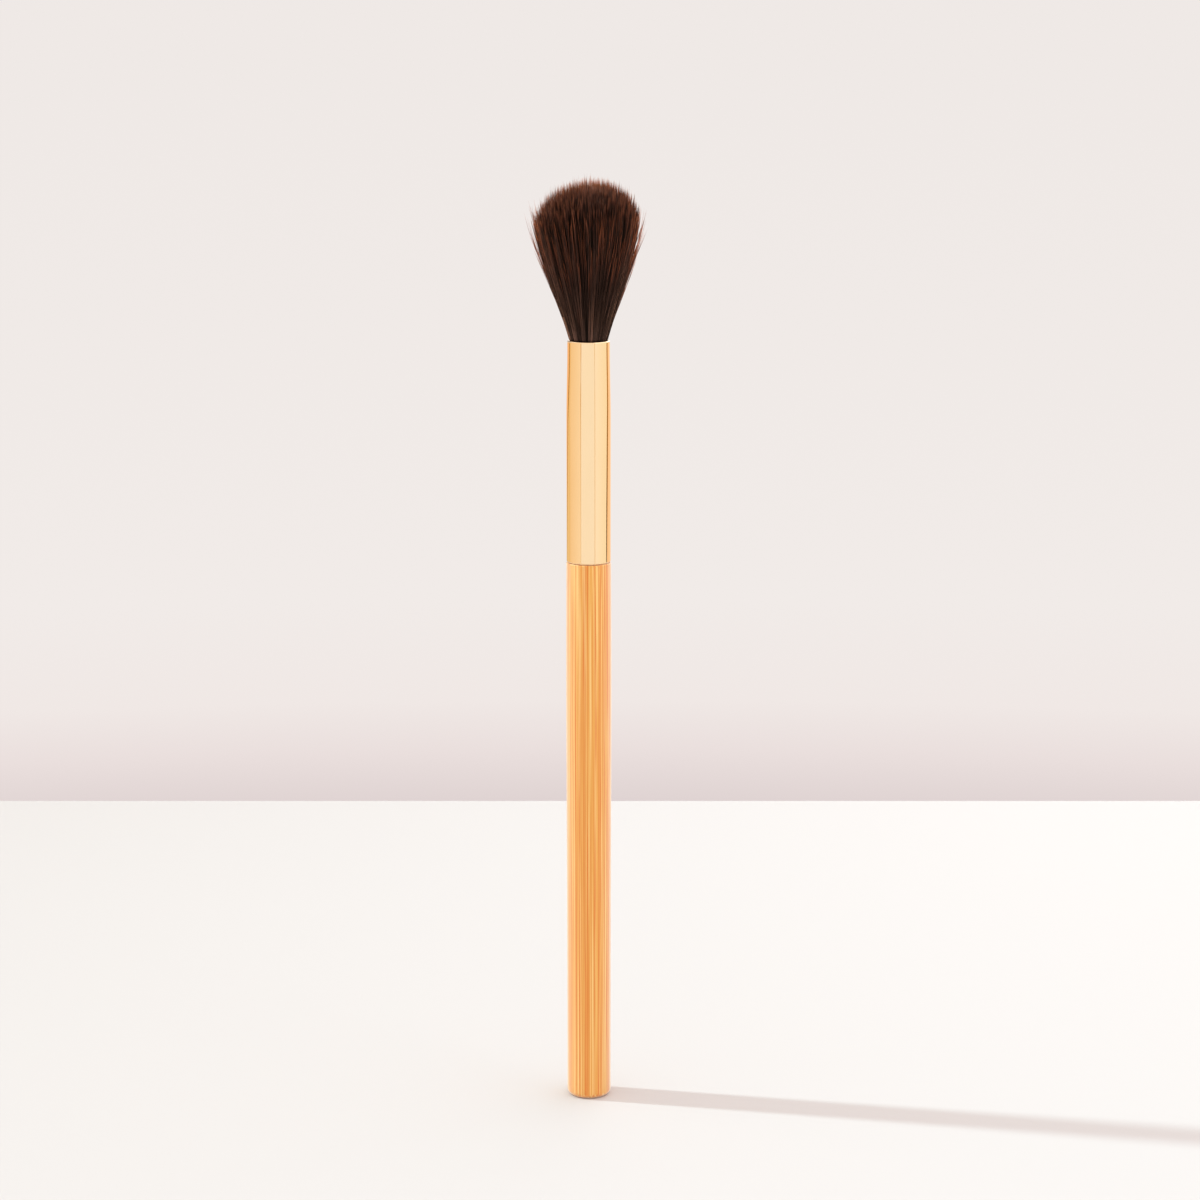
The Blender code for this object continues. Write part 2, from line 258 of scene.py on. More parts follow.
def turnPiece(name, outline, sides, closed):
    bpy.ops.object.select_all(action="DESELECT")
    radius, height = outline[0]
    bpy.ops.mesh.primitive_circle_add(vertices=sides, radius=radius, location=(0, 0, height))
    piece = bpy.context.object
    piece.name = name
    bpy.ops.object.transform_apply(location=True)
    bpy.ops.object.mode_set(mode="EDIT")
    bpy.ops.mesh.select_all(action="SELECT")
    if closed:
        drawUp = bpy.ops.mesh.extrude_edges_move
    else:
        drawUp = bpy.ops.mesh.extrude_region_move
        bpy.ops.mesh.edge_face_add()
        bpy.ops.mesh.normals_make_consistent(inside=False)
    for (r0, z0), (r1, z1) in zip(outline, outline[1:]):
        drawUp(TRANSFORM_OT_translate={"value": (0, 0, z1 - z0)})
        bpy.ops.transform.resize(value=(r1 / r0, r1 / r0, 1), center_override=(0, 0, z1))
    bpy.ops.mesh.select_all(action="SELECT")
    if closed:
        bpy.ops.mesh.remove_doubles(threshold=turning["mergeDistance"])
    bpy.ops.mesh.normals_make_consistent(inside=False)
    bpy.ops.object.mode_set(mode="OBJECT")
    bpy.ops.object.shade_smooth_by_angle(angle=math.radians(turning["creaseAngle"]))
    return piece


def arcPoints(radius, height, size, start, end, steps):
    angles = [start + (end - start) * n / steps for n in range(steps + 1)]
    return [(radius + size * math.cos(a), height + size * math.sin(a)) for a in angles]


def evenSteps(low, high, count):
    return [low + (high - low) * n / count for n in range(count + 1)]


# Handle

handleSizes = {
    "length": 0.1070, "buttRadius": 0.00426, "shoulderRadius": 0.00428,
    "swell": 0.0001, "swellLean": 2.4,      # the swelling is fullest well above the middle
    "buttRounding": 0.0011, "shoulderRounding": 0.0002,
    "tenonLength": 0.0160, "tenonRadius": 0.003775, "tenonChamfer": 0.0008, "tenonCap": 0.0004,
    "grooveWidth": 0.0012, "grooveDepth": 0.0004, "grooves": 3,
    "guardRing": 0.0003,                    # a ring this far from each rounding keeps the long side's shading
    "sides": 256, "sideSteps": 24, "buttSteps": 12, "shoulderSteps": 5,
}


def handleRadius(z):
    s = handleSizes
    share = z / s["length"]
    taper = s["buttRadius"] + (s["shoulderRadius"] - s["buttRadius"]) * share
    return taper + s["swell"] * math.sin(math.pi * share ** s["swellLean"])


def bambooMaterial():
    # solid bamboo, turned, sanded and lightly lacquered: straight orange fibre bundles in paler
    # wood, a satin gloss, and a soft pale bloom from the sanded fibres where it is seen edge-on
    bamboo, tree, shader = newMaterial("lacquered bamboo")
    place = addNode(tree, "ShaderNodeTexCoord").outputs["Object"]
    # millimetres across the grain; along it the pattern is drawn out 200 times, as the fibres run straight
    grain = addNode(tree, "ShaderNodeMapping", {"Scale": (1000, 1000, 5)}, {"Vector": place})
    across = grain.outputs["Vector"]
    # fibre bundles cut lengthwise: orange lines about 0.27 mm wide, one every 0.45 mm
    bundles = addNode(tree, "ShaderNodeTexVoronoi", {"Scale": 2.2, "Randomness": 0.9}, {"Vector": across},
                      feature="F1", voronoi_dimensions="2D")
    bundleShare = addNode(tree, "ShaderNodeMapRange", {
        "From Min": 0.26, "From Max": 0.34, "To Min": 1.0, "To Max": 0.0,
    }, {"Value": bundles.outputs["Distance"]}, interpolation_type="SMOOTHSTEP")
    # single fibres, drawn some 0.3 mm wide so that they show
    fibres = addNode(tree, "ShaderNodeTexNoise", {"Scale": 3.0, "Detail": 2.0, "Roughness": 0.6},
                     {"Vector": across}).outputs["Fac"]
    # bands some 2 mm wide where the culm was paler or darker
    bands = addNode(tree, "ShaderNodeTexNoise", {"Scale": 0.6, "Detail": 1.0}, {"Vector": across})
    # how far each bundle darkens, changing every 20 mm or so along its length
    drift = addNode(tree, "ShaderNodeMapping", {"Scale": (2200, 2200, 45)}, {"Vector": place})
    fading = addNode(tree, "ShaderNodeTexNoise", {"Scale": 1.0, "Detail": 1.0},
                     {"Vector": drift.outputs["Vector"]})
    fadeShare = addNode(tree, "ShaderNodeMapRange", {
        "From Min": 0.36, "From Max": 0.60, "To Min": 0.3, "To Max": 1.0,
    }, {"Value": fading.outputs["Fac"]})
    ground = addRamp(tree, fibres, [(0.40, "#E49434"), (0.5, "#EAA94B"), (0.60, "#F4C476")])
    tone = addRamp(tree, bands.outputs["Fac"], [(0.35, "#FBE6D0"), (0.5, "#FFFFFF"), (0.65, "#FFF4D4")])
    wood = addNode(tree, "ShaderNodeMix", {0: 0.4}, {6: ground, 7: tone},
                   data_type="RGBA", blend_type="MULTIPLY")
    dark = addNode(tree, "ShaderNodeMath", None,
                   {0: bundleShare.outputs["Result"], 1: fadeShare.outputs["Result"]}, operation="MULTIPLY")
    lined = addNode(tree, "ShaderNodeMix", {7: linearColour("#DE7814")},
                    {0: dark.outputs[0], 6: wood.outputs[2]}, data_type="RGBA")
    tree.links.new(lined.outputs[2], shader.inputs["Base Color"])
    relief = addNode(tree, "ShaderNodeBump", {"Strength": 0.25, "Distance": 0.00002}, {"Height": fibres})
    tree.links.new(relief.outputs["Normal"], shader.inputs["Normal"])
    rough = addNode(tree, "ShaderNodeMapRange", {"To Min": 0.42, "To Max": 0.56}, {"Value": fibres})
    tree.links.new(rough.outputs["Result"], shader.inputs["Roughness"])
    setSurface(shader, IOR=1.5, Specular_IOR_Level=0.4, Coat_Weight=0.2, Coat_Roughness=0.3, Coat_IOR=1.5)
    setSurface(shader, Sheen_Weight=0.75, Sheen_Roughness=0.5)
    return bamboo


def buildHandle():
    s = handleSizes
    guard, rounding, shoulder = s["guardRing"], s["shoulderRounding"], s["length"]
    low, high = s["buttRounding"], shoulder - rounding
    outline = arcPoints(handleRadius(low) - low, low, low, -math.pi / 2, 0, s["buttSteps"])
    outline.append((handleRadius(low + guard), low + guard))
    outline += [(handleRadius(z), z) for z in evenSteps(low, high, s["sideSteps"])[1:-1]]
    outline.append((handleRadius(high - guard), high - guard))
    outline += arcPoints(handleRadius(high) - rounding, high, rounding, 0, math.pi / 2, s["shoulderSteps"])
    radius, deep = s["tenonRadius"], s["tenonRadius"] - s["grooveDepth"]
    outline.append((radius, shoulder))
    for number in range(s["grooves"]):
        middle = shoulder + s["tenonLength"] * (number + 1) / (s["grooves"] + 1)
        lower, upper = middle - s["grooveWidth"] / 2, middle + s["grooveWidth"] / 2
        outline += [(radius, lower), (deep, lower), (deep, upper), (radius, upper)]
    end = shoulder + s["tenonLength"]
    chamfer = s["tenonChamfer"]
    outline += [(radius, end - chamfer), (radius - chamfer, end), (s["tenonCap"], end)]
    handle = turnPiece("bambooHandle", outline, s["sides"], closed=False)
    handle.data.materials.append(bambooMaterial())
    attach(handle, "root")
    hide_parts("handle")
    print("handle turned:", len(handle.data.polygons), "faces")


# Ferrule: heights are above its foot

ferruleSizes = {
    "foot": 0.1071, "length": 0.0426, "radius": 0.004225, "mouthRadius": 0.00403, "wall": 0.00035,
    "mouthLand": 0.0012, "taperLength": 0.0138, "lipRadius": 0.0002,
    "sideRings": (0.0003, 0.0006, 0.012),   # added rings keep the straight sides' reflections true
    "landRings": (0.0008, 0.0003, 0.0001),  # these go down from the lip
    "sides": 256, "footSteps": 14, "taperSteps": 20, "lipSteps": 16,
}


def ferruleRadius(z):
    s = ferruleSizes
    share = min(max((s["length"] - s["mouthLand"] - z) / s["taperLength"], 0.0), 1.0)
    return s["mouthRadius"] + (s["radius"] - s["mouthRadius"]) * share * share * (3 - 2 * share)


def goldMaterial():
    # drawn brass, plated gold and mirror polished: clear bands of reflected light, a faint haze from handling
    gold, tree, shader = newMaterial("polished gold plate")
    place = addNode(tree, "ShaderNodeTexCoord").outputs["Object"]
    # haze patches of about 4 mm, drawn out along the tube as the cloth ran
    haze = addNode(tree, "ShaderNodeMapping", {"Scale": (250, 250, 60)}, {"Vector": place})
    patches = addNode(tree, "ShaderNodeTexNoise", {"Scale": 1.0, "Detail": 4.0, "Roughness": 0.6},
                      {"Vector": haze.outputs["Vector"]}).outputs["Fac"]
    rough = addNode(tree, "ShaderNodeMapRange", {
        "From Min": 0.3, "From Max": 0.7, "To Min": 0.045, "To Max": 0.085,
    }, {"Value": patches})
    tree.links.new(rough.outputs["Result"], shader.inputs["Roughness"])
    tint = addRamp(tree, patches, [(0.3, "#F8D3A4"), (0.7, "#FAD6A9")])
    tree.links.new(tint, shader.inputs["Base Color"])
    setSurface(shader, Metallic=1.0)
    return gold


def buildFerrule():
    s = ferruleSizes
    edge = s["wall"] / 2
    lip = s["lipRadius"]
    lipHeight = s["length"] - lip
    # the bead at the mouth runs on past its innermost point until it meets the wall's inner face
    lipEnd = 2 * math.pi - math.acos((lip - s["wall"]) / lip)
    high = s["length"] - s["mouthLand"]
    heights = evenSteps(high - s["taperLength"], high, s["taperSteps"])
    outline = arcPoints(s["radius"] - edge, edge, edge, -math.pi, 0, s["footSteps"])
    outline += [(s["radius"], z) for z in s["sideRings"]]
    outline += [(ferruleRadius(z), z) for z in heights]
    outline += [(s["mouthRadius"], lipHeight - z) for z in s["landRings"]]
    outline += arcPoints(s["mouthRadius"] - lip, lipHeight, lip, 0, lipEnd, s["lipSteps"])
    outline += [(ferruleRadius(z) - s["wall"], z) for z in reversed(heights)]
    outline.append(outline[0])
    ferrule = turnPiece("goldFerrule", [(r, z + s["foot"]) for r, z in outline], s["sides"], closed=True)
    ferrule.data.materials.append(goldMaterial())
    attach(ferrule, "root")
    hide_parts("ferrule")
    print("ferrule drawn:", len(ferrule.data.polygons), "faces")


buildHandle()
buildFerrule()


# Filaments: each is a thin three-sided strand of quads that ends in a point. A strand's rings stand
# at set shares of its length. Its marks say how far along the dye's map each ring is, and its shades
# how light it is.

strandLook = {
    "sides": 3,
    "shadeWidth": 0.016,            # how wide a strip of the map goes round one filament
    "taperFrom": 0.86, "taperOver": 0.14, "taperPower": 1.2,
}
hairStations = np.array([0, 0.002, 0.016, 0.1, 0.28, 0.48, 0.68, 0.85, 0.945, 1.0])


def partWay(value, start, length):
    # how far a value has come on a way: 0 up to its start, 1 from its end on
    return np.clip((value - start) / length, 0, 1)


def girth(t, tipShare):
    # full over most of the length, then a long taper to a fine tip
    s = strandLook
    return 1.0 - (1.0 - tipShare) * partWay(t, s["taperFrom"], s["taperOver"]) ** s["taperPower"]


def strandMesh(name, paths, radii, marks, shades):
    # paths: strand, ring, xyz; radii, marks and shades: strand, ring; the last ring is the tip's single point
    sides = strandLook["sides"]
    count, rings, _ = paths.shape
    along = np.gradient(paths, axis=1)
    along /= np.linalg.norm(along, axis=2, keepdims=True)
    middle = paths.mean(axis=1) * (1, 1, 0)
    side = np.cross(along, middle[:, None, :] + (1e-6, 0, 0))      # the nudge is for a strand on the axis
    side /= np.linalg.norm(side, axis=2, keepdims=True)
    out = np.cross(side, along)
    turns = 2 * math.pi * np.arange(sides) / sides
    walls = np.stack([
        paths[:, :-1] + radii[:, :-1, None] * (out[:, :-1] * math.cos(a) + side[:, :-1] * math.sin(a))
        for a in turns], axis=2)
    points = np.concatenate([walls.reshape(count, -1, 3), paths[:, -1:]], axis=1)
    # one filament's corners, each its point, its ring and its place round the ring: four to a side
    # face, three at the tip
    corners = []
    for j in range(rings - 2):
        for k in range(sides):
            for ring, place in ((j, k), (j, k + 1), (j + 1, k + 1), (j + 1, k)):
                corners.append((ring * sides + place % sides, ring, place / sides))
    tip = (rings - 1) * sides
    for k in range(sides):
        for place in (k, k + 1):
            corners.append(((rings - 2) * sides + place % sides, rings - 2, place / sides))
        corners.append((tip, rings - 1, (k + 0.5) / sides))
    corner, ring, place = [np.array(column) for column in zip(*corners)]
    loops = corner[None] + (np.arange(count) * (tip + 1))[:, None]
    uv = np.stack([marks[:, ring], shades[:, ring] + strandLook["shadeWidth"] * place], axis=2)
    sizes = np.array([4] * (rings - 2) * sides + [3] * sides)
    starts = np.concatenate([[0], np.cumsum(np.tile(sizes, count))[:-1]])
    mesh = bpy.data.meshes.new(name)
    mesh.vertices.add(points.shape[0] * points.shape[1])
    mesh.vertices.foreach_set("co", points.astype(np.float32).ravel())
    mesh.loops.add(loops.size)
    mesh.loops.foreach_set("vertex_index", loops.astype(np.int32).ravel())
    mesh.polygons.add(len(starts))
    mesh.polygons.foreach_set("loop_start", starts.astype(np.int32))
    layer = mesh.uv_layers.new(name="OFBake")
    layer.data.foreach_set("uv", uv.astype(np.float32).ravel())
    mesh.update(calc_edges=True)
    mesh.validate()
    mesh.shade_smooth()
    piece = bpy.data.objects.new(name, mesh)
    scene.collection.objects.link(piece)
    return piece


def hairMaterial():
    # soft nylon filament dyed dark brown; the orange painted into the thin tips and the outer wisps stands
    # for the light that they let through
    hair, tree, shader = newMaterial("dyed nylon filament")
    along = addNode(tree, "ShaderNodeUVMap", uv_map="OFBake")
    split = addNode(tree, "ShaderNodeSeparateXYZ", links={"Vector": along.outputs["UV"]})
    # painted shade: near black at the roots just above the ferrule's lip, which shades them; painted light:
    # the orange at the far end, for light let through the thin tips
    dyeAndPaintedLight = addRamp(tree, split.outputs["X"], [
        (0.0, "#1C100B"), (0.014, "#553E35"), (0.12, "#50392E"), (0.3, "#432E26"), (0.78, "#33221C"),
        (0.86, "#4A291E"), (0.94, "#7E462C"), (1.0, "#D87C4C")])
    # across the map lie the filaments' own shades: darkest first, and warmer from the palest on
    own = addRamp(tree, split.outputs["Y"], [
        (0.0, "#202020"), (0.25, "#454545"), (0.45, "#6C6C6C"), (0.65, "#909090"),
        (0.82, "#B3B0AE"), (0.87, "#B88468"), (1.0, "#DC9C78")])
    shaded = addNode(tree, "ShaderNodeVectorMath", None, {0: dyeAndPaintedLight, 1: own}, operation="MULTIPLY")
    # a shade just over the middle leaves the dye as it is; the rest lie darker or lighter
    full = addNode(tree, "ShaderNodeVectorMath", {"Scale": 5.2}, {0: shaded.outputs["Vector"]},
                   operation="SCALE")
    tree.links.new(full.outputs["Vector"], shader.inputs["Base Color"])
    setSurface(shader, Roughness=0.42, IOR=1.53)
    setSurface(shader, Specular_IOR_Level=0.12, Specular_Tint=linearColour("#FFD8BC"))
    return hair


def finishHair(piece, hair):
    piece.data.materials.append(hair)
    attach(piece, "root")
    print(piece.name, "has", len(piece.data.polygons), "faces")


# Tuft: fine tapered filaments in small locks, fanned out from the mouth to a dome. Its heights are
# above the mouth, and a lock's or filament's place is on a disc of radius 1, the tuft's flank.

tuftSizes = {
    "mouth": 0.1497, "height": 0.0301, "bellyHeight": 0.0228,
    "neck": 0.00366, "belly": 0.0096,
    "flareSlope": 0.27, "bellySlope": 0.07,                         # of the flank, at the neck and the belly
    "splay": 0.0003, "splayFrom": 0.7, "splayOver": 0.3, "splayMost": 1.3,      # the crown's rim leans out
    "domePower": 1.95,                                              # 2 is round, more is squarer
    "domeTilt": 0.0007,                                             # its right side stands higher
    "lean": 0.0004,                                                 # and its flanks lean to the left
    "rootDepth": 0.0006, "bore": 0.0034, "brimDepth": 0.00005, "brim": 0.00358,     # inside the ferrule's lip
    "locks": 2600, "perLock": 4, "groups": 420, "seed": 11,
    "radius": 0.00004, "girths": (0.8, 1.2), "tipGirth": 0.4,
    "lockScatter": 0.006,
    "lockPull": 0.86, "lockPullOver": 0.5, "lockPullPower": 0.7,    # filaments draw to their lock's middle
    "groupPull": 0.2, "groupPullFrom": 0.1, "groupPullOver": 0.4,   # and near the neck to their group's
    "rim": 0.9, "rimLooseness": 0.05, "rimLoosenessPower": 0.7,     # past this share they stand off a little
    "lockLean": 0.00020,                                            # sideways, of a lock's top
    "sway": 0.00006, "stray": 0.00008,                              # and of a filament's middle and tip
    "proud": 0.0001,                                                # tips end this far over the dome,
    "lockReach": 0.0005, "hairReach": 0.00032, "hairShortfall": 0.0005,         # more or less by these
    "tipZone": 0.005,                                               # length where the colour pales to orange, painted light let through the thin tips
}
tuftShades = {
    "middle": 0.42, "most": 0.80,
    "byGroup": 0.18, "byLock": 0.47, "byHair": 0.12,    # how much groups, locks and filaments differ
    "lockFrom": 0.15, "lockOver": 0.4,                  # where along it locks take over from groups
    # painted light and shade: how far the tips pale towards orange stands for light let through them, held
    # back on the flank, where they lie in shade
    "pale": 0.99, "paleSpread": 0.03, "paleLeast": 0.90,        # how far a lock's tips go towards orange
    "flankFrom": 0.2, "flankOver": 0.4, "flankFall": 0.11,      # the flank's tips lie in the others' shade
    "longest": 0.8, "longestShare": 0.2,                        # but for the longest, past this quantile
    "crown": 0.62, "crownFrom": 0.90, "crownOver": 0.05,        # the crown's tips are all pale
}


def tuftCurve(level):
    # how far from neck (0) to belly (1) the tuft has spread at a level between the mouth (0) and its top (1)
    s = tuftSizes
    flare = s["flareSlope"] * level * (1 - level) ** 2
    rise = s["bellyHeight"] * (flare - s["bellySlope"] * level ** 2 * (1 - level))
    return level * level * (3 - 2 * level) + rise / (s["belly"] - s["neck"])


def flankRadius(level):
    s = tuftSizes
    return s["neck"] + (s["belly"] - s["neck"]) * tuftCurve(np.clip(level, 0, 1))


def domeHeight(share):
    s = tuftSizes
    power = s["domePower"]
    rise = (1 - np.clip(share, 0, 1) ** power) ** (1 / power)
    return s["bellyHeight"] + (s["height"] - s["bellyHeight"]) * rise


def radiusAlong(level):
    # the tuft's radius at a level: the first two stations lie in the ferrule and clear its lip
    s = tuftSizes
    spread = flankRadius(level)
    spread += s["splay"] * np.clip((level - s["splayFrom"]) / s["splayOver"], 0, s["splayMost"]) ** 2
    spread[:, 0], spread[:, 1] = s["bore"], s["brim"]
    return spread


def heightAlong(h):
    s = tuftSizes
    z = s["mouth"] + h
    z[:, 0], z[:, 1] = s["mouth"] - s["rootDepth"], s["mouth"] - s["brimDepth"]
    return z


def marksAlong(h, reach):
    # the map's own way along a filament: 0 at the mouth, 0.5 where its tip zone starts, 1 at its tip
    low = reach - tuftSizes["tipZone"]
    return np.clip(np.where(h < low, 0.5 * h / low, 0.5 + 0.5 * (h - low) / tuftSizes["tipZone"]), 0, 1)


def sunflower(count):
    # even places over a unit disc, as seeds sit in a sunflower
    index = np.arange(count) + 0.5
    turn = index * math.pi * (3 - math.sqrt(5))
    return np.stack([np.sqrt(index / count) * np.cos(turn), np.sqrt(index / count) * np.sin(turn)], axis=1)


def unlikeShades(rng, places, spread):
    # random shades less the mean of each one's six neighbours, so that light and dark lie side by side
    shades = rng.normal(0, spread, len(places))
    around = np.argsort(np.linalg.norm(places[:, None] - places[None], axis=2), axis=1)[:, 1:7]
    return shades - shades[around].mean(axis=1)


def buildTuft(hair):
    s, look = tuftSizes, tuftShades
    rng = np.random.default_rng(s["seed"])
    locks = s["locks"]
    count = locks * s["perLock"]
    lock = sunflower(locks) + rng.normal(0, s["lockScatter"], (locks, 2))
    group = sunflower(s["groups"])
    nearest = np.argmin(np.linalg.norm(lock[:, None] - group[None], axis=2), axis=1)
    groupShade = unlikeShades(rng, group, look["byGroup"])[nearest]
    lockShade = unlikeShades(rng, lock, look["byLock"])
    lockReach = rng.normal(0, s["lockReach"], locks)
    lockPale = np.clip(rng.normal(look["pale"], look["paleSpread"], locks), look["paleLeast"], 1.0)
    lockLean = rng.normal(0, s["lockLean"], (locks, 2))

    # from here on each row is a filament, and its lock's number is in mine
    mine = np.repeat(np.arange(locks), s["perLock"])
    halfWay = 1.0 / math.sqrt(locks)                          # to the next lock
    place = lock[mine] + rng.uniform(-1, 1, (count, 2)) * halfWay
    place /= np.maximum(1, np.linalg.norm(place, axis=1, keepdims=True))
    share = np.linalg.norm(place, axis=1)
    surface = domeHeight(share) + s["domeTilt"] * place[:, 0]
    standing = lockReach[mine] + rng.normal(0, s["hairReach"], count)
    standing = standing - rng.exponential(s["hairShortfall"], count)
    reach = surface + s["proud"] + standing

    t = hairStations
    h = t * reach[:, None]
    level = h / surface[:, None]
    toLock = (s["lockPull"] * partWay(t, 0, s["lockPullOver"]) ** s["lockPullPower"])[:, None]
    toGroup = (s["groupPull"] * (1 - partWay(t, s["groupPullFrom"], s["groupPullOver"])))[:, None]
    own = place[:, None, :] * (1 - toLock) + lock[mine][:, None, :] * toLock
    own = own * (1 - toGroup) + group[nearest][mine][:, None, :] * toGroup
    looseness = np.where(share > s["rim"], s["rimLooseness"] * rng.uniform(0, 1, count) ** 2, 0)
    loose = 1 + looseness[:, None] * t ** s["rimLoosenessPower"]
    flat = own * radiusAlong(level)[:, :, None] * loose[:, :, None]
    flat = flat + lockLean[mine][:, None, :] * t[:, None] ** 2
    flat[:, :, 0] -= s["lean"] * share[:, None] * np.clip(level, 0, 1) ** 3
    flat += rng.normal(0, s["sway"], (count, 2))[:, None, :] * np.sin(math.pi * t)[:, None]
    flat += rng.normal(0, s["stray"], (count, 2))[:, None, :] * t[:, None] ** 3
    paths = np.concatenate([flat, heightAlong(h)[:, :, None]], axis=2)
    radii = s["radius"] * girth(t, s["tipGirth"]) * rng.uniform(*s["girths"], (count, 1))

    upper = partWay(t, look["lockFrom"], look["lockOver"])
    shades = groupShade[mine][:, None] * (1 - upper) + lockShade[mine][:, None] * upper
    shades = np.clip(look["middle"] + shades + rng.normal(0, look["byHair"], (count, 1)), 0, look["most"])
    # painted light and shade at the tips: pale orange ends for light let through them, darker on the flank,
    # where the others shade them, and the crown's tips all painted pale
    shaded = np.where(standing > np.quantile(standing, look["longest"]), look["longestShare"], 1.0)
    flank = (partWay(share, look["flankFrom"], look["flankOver"]) * shaded)[:, None]
    marks = np.minimum(marksAlong(h, reach[:, None]), lockPale[mine][:, None] - look["flankFall"] * flank)
    atTip = partWay(t, look["crownFrom"], look["crownOver"]) * (1 - flank)
    shades = shades * (1 - atTip) + look["crown"] * atTip

    outwards = np.argsort(share, kind="stable")
    names = ("coreHair", "innerHair", "outerHair", "rimHair")
    for name, chosen in zip(names, np.array_split(outwards, len(names))):
        piece = strandMesh(name, paths[chosen], radii[chosen], marks[chosen], shades[chosen])
        if name == "coreHair":
            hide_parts("bristle_tuft")
        finishHair(piece, hair)


# Wisps: a thin loose layer that rises out of the flank some way up, and stands off it more and more

wisps = {
    "count": 300, "radius": 0.00004, "girths": (0.7, 1.2), "tipGirth": 0.1, "seed": 5,
    "sunkRoot": 0.86,               # its root lies at this share of the flank's radius, under the others
    "reaches": (-0.006, 0.0022),    # how far the tips end from the belly's height
    "leaves": (0.10, 0.45),         # share of the length where each one rises out of the flank
    "looseness": 0.16, "loosenessPower": 1.5,                       # most ends stay near the flank
    "bow": 0.00015, "stray": 0.00025,                               # sideways, of the middle and of the tip
    # painted light: their upper parts pale towards orange for the light let through the thin filaments at the
    # tuft's edge
    "palest": 0.93, "palePower": 0.6,
}
sideShades = {
    "clumps": 110, "clumpMiddle": 0.45, "clumpSpread": 0.22,    # low down neighbours share a shade
    "ownRange": (0.50, 0.80), "ownFrom": 0.2, "ownOver": 0.5,   # above each has its own
    "least": 0.05, "most": 0.85,
}


def shadesAtSide(rng, turn, count, t):
    s = sideShades
    clump = (turn / (2 * math.pi) * s["clumps"]).astype(int) % s["clumps"]
    together = rng.normal(s["clumpMiddle"], s["clumpSpread"], s["clumps"])[clump][:, None]
    apart = rng.uniform(*s["ownRange"], (count, 1))
    upper = partWay(t, s["ownFrom"], s["ownOver"])
    return np.clip(together * (1 - upper) + apart * upper, s["least"], s["most"])


def buildWisps(hair):
    s = tuftSizes
    rng = np.random.default_rng(wisps["seed"])
    count = wisps["count"]
    turn = rng.uniform(0, 2 * math.pi, count)
    t = hairStations
    surface = s["bellyHeight"] + s["domeTilt"] * np.cos(turn)
    reach = surface + rng.uniform(*wisps["reaches"], count)
    h = t * reach[:, None]
    level = h / surface[:, None]
    leave = rng.uniform(*wisps["leaves"], (count, 1))
    past = partWay(t, leave, 1 - leave)
    out = wisps["sunkRoot"] + (1 - wisps["sunkRoot"]) * partWay(t, 0, leave)
    out += wisps["looseness"] * rng.uniform(0, 1, (count, 1)) ** wisps["loosenessPower"] * past
    radius = radiusAlong(level) * out
    bow = rng.normal(0, wisps["bow"], (count, 1)) * np.sin(math.pi * t)
    bow = bow + rng.normal(0, wisps["stray"], (count, 1)) * t ** 3
    sine, cosine = np.sin(turn)[:, None], np.cos(turn)[:, None]
    x = radius * cosine - bow * sine - s["lean"] * np.clip(level, 0, 1) ** 3
    y = radius * sine + bow * cosine
    paths = np.stack([x, y, heightAlong(h)], axis=2)
    radii = wisps["radius"] * girth(t, wisps["tipGirth"]) * rng.uniform(*wisps["girths"], (count, 1))
    marks = 0.5 + (wisps["palest"] - 0.5) * past ** wisps["palePower"]
    finishHair(strandMesh("wispHair", paths, radii, marks, shadesAtSide(rng, turn, count, t)), hair)


# Flyaways: single filaments that leave the flank and go on almost straight

flyaways = {
    "count": 130, "rings": 12, "radius": 0.00006, "girths": (0.8, 1.15), "tipGirth": 0.3, "seed": 23,
    "sunkRoot": 0.86,
    "leaves": (0.004, 0.018),       # the height where each one parts from the flank
    "lengths": (0.006, 0.0125),     # its height from there to its tip
    "tops": (0.020, 0.0285),        # and the most that its tip's height can be
    "leastSlope": 0.25, "slopeGain": 0.04, "slopeSpread": 0.05,     # how much it leans out past the flank
    "bends": (0.0, 4.0),            # how much it then curves back in, per metre
    "turnSpread": 0.06,             # radians that it turns round the axis in each centimetre of height
    # painted light: the part past the flank pales towards orange for the light let through the thin filament
    "palest": 0.94,
}


def buildFlyaways(hair):
    s = tuftSizes
    rng = np.random.default_rng(flyaways["seed"])
    count = flyaways["count"]
    turn = rng.uniform(0, 2 * math.pi, count)
    leave = rng.uniform(*flyaways["leaves"], (count, 1))
    bend = rng.uniform(*flyaways["bends"], (count, 1))
    top = leave[:, 0] + rng.uniform(*flyaways["lengths"], count)
    top = np.minimum(top, rng.uniform(*flyaways["tops"], count))
    t = np.linspace(0, 1, flyaways["rings"])
    h = t * top[:, None]

    def flank(height):
        return flankRadius(height / s["bellyHeight"])

    step = 0.0001
    slope = np.maximum((flank(leave + step) - flank(leave - step)) / (2 * step), flyaways["leastSlope"])
    slope = slope + rng.normal(flyaways["slopeGain"], flyaways["slopeSpread"], (count, 1))
    past = np.maximum(h - leave, 0)
    sunk = flyaways["sunkRoot"] + (1 - flyaways["sunkRoot"]) * partWay(h, 0, leave)
    radius = np.where(past > 0, flank(leave) + slope * past - bend * past ** 2, flank(h) * sunk)
    angle = turn[:, None] + rng.normal(0, flyaways["turnSpread"], (count, 1)) * past / 0.01
    paths = np.stack([radius * np.cos(angle), radius * np.sin(angle), s["mouth"] + h], axis=2)
    paths[:, 0, 2] -= s["rootDepth"]
    radii = flyaways["radius"] * girth(t, flyaways["tipGirth"]) * rng.uniform(*flyaways["girths"], (count, 1))
    marks = 0.5 + (flyaways["palest"] - 0.5) * np.sqrt(np.clip(past / (top[:, None] - leave), 0, 1))
    finishHair(strandMesh("flyawayHair", paths, radii, marks, shadesAtSide(rng, turn, count, t)), hair)


filament = hairMaterial()
buildTuft(filament)
buildWisps(filament)
buildFlyaways(filament)


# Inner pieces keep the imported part's own meshes and get their real finishes

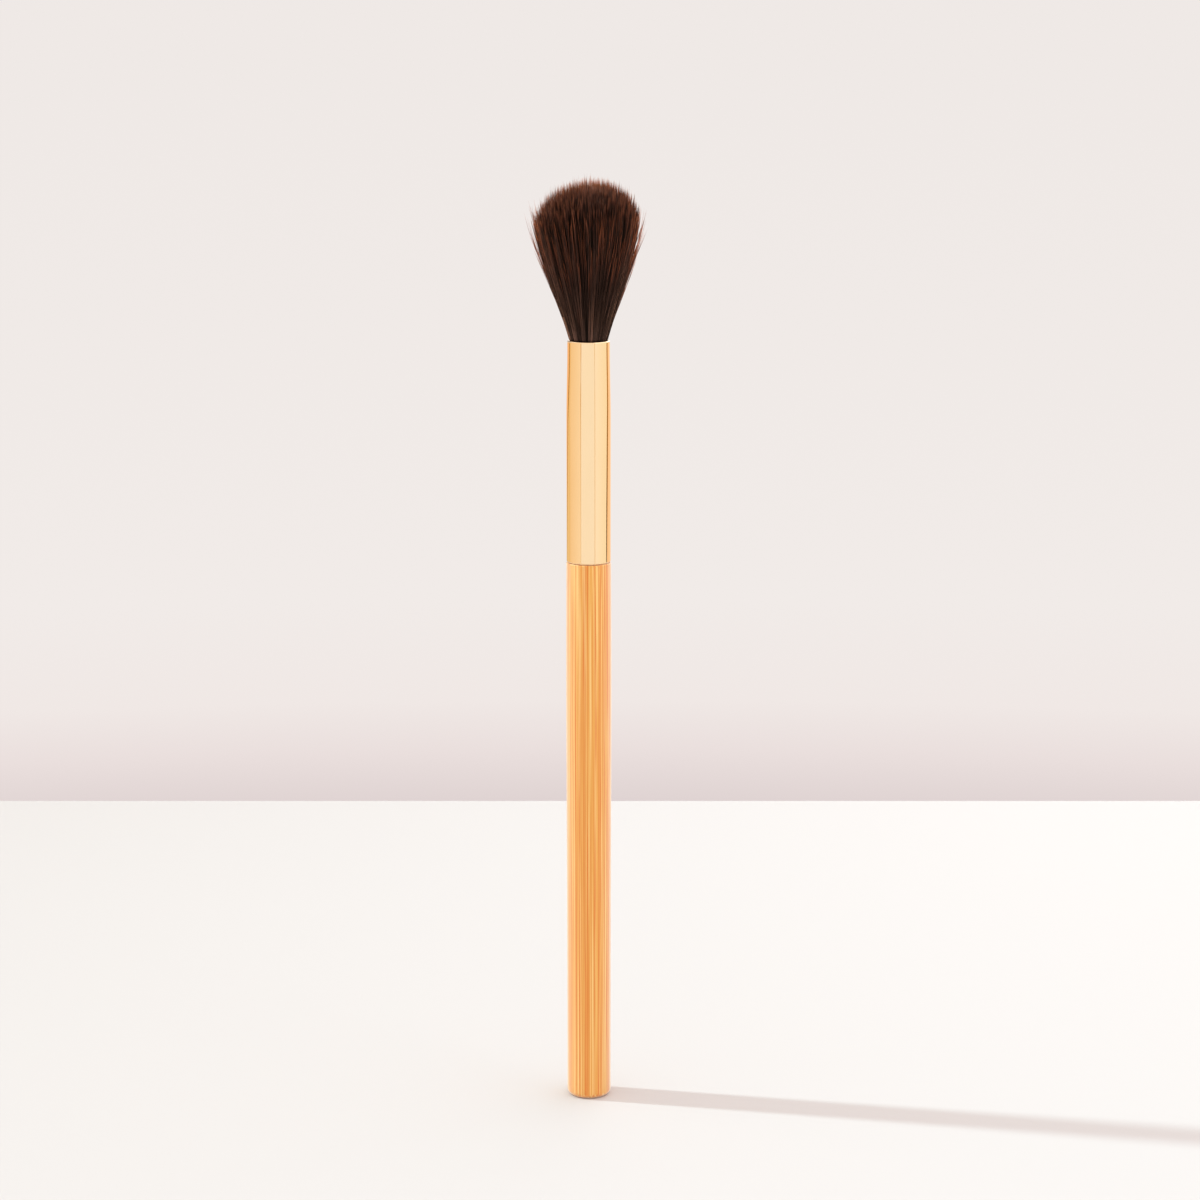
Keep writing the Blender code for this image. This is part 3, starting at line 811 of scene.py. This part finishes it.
def resinMaterial():
    # cast epoxy: clear amber with a few cloudy drifts of 1.4 mm
    resin, tree, shader = newMaterial("cast amber epoxy")
    place = addNode(tree, "ShaderNodeTexCoord").outputs["Object"]
    drifts = addNode(tree, "ShaderNodeTexNoise", {"Scale": 700.0, "Detail": 3.0}, {"Vector": place})
    colour = addRamp(tree, drifts.outputs["Fac"], [(0.3, "#B98A3E"), (0.7, "#D9A85C")])
    tree.links.new(colour, shader.inputs["Base Color"])
    setSurface(shader, Roughness=0.15, IOR=1.55)
    return resin


def threadMaterial():
    # twisted cotton thread: pale, matt, with fine slanting plies 0.3 mm apart
    thread, tree, shader = newMaterial("twisted cotton thread")
    place = addNode(tree, "ShaderNodeTexCoord").outputs["Object"]
    plies = addNode(tree, "ShaderNodeTexWave", {"Scale": 1300.0, "Distortion": 1.5, "Detail": 2.0},
                    {"Vector": place}, bands_direction="DIAGONAL").outputs["Fac"]
    tree.links.new(addRamp(tree, plies, [(0.0, "#CFC2A6"), (1.0, "#EDE3CC")]), shader.inputs["Base Color"])
    relief = addNode(tree, "ShaderNodeBump", {"Strength": 0.5, "Distance": 0.00003}, {"Height": plies})
    tree.links.new(relief.outputs["Normal"], shader.inputs["Normal"])
    setSurface(shader, Roughness=0.85)
    return thread


def glueMaterial():
    # set contact adhesive: glossy and yellowish, uneven over 0.7 mm
    glue, tree, shader = newMaterial("set adhesive")
    place = addNode(tree, "ShaderNodeTexCoord").outputs["Object"]
    uneven = addNode(tree, "ShaderNodeTexNoise", {"Scale": 1500.0, "Detail": 2.0}, {"Vector": place})
    colour = addRamp(tree, uneven.outputs["Fac"], [(0.3, "#DDCFA8"), (0.7, "#EFE3C6")])
    tree.links.new(colour, shader.inputs["Base Color"])
    setSurface(shader, Roughness=0.3, IOR=1.5)
    return glue


innerFinishes = {"root_plug": resinMaterial(), "binding_thread": threadMaterial()}
glue = glueMaterial()
for number in (1, 2, 3):
    innerFinishes["glue_ring_" + str(number)] = glue
for node, finish in innerFinishes.items():
    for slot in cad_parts[node].material_slots:
        slot.material = finish
print("inner pieces finished")
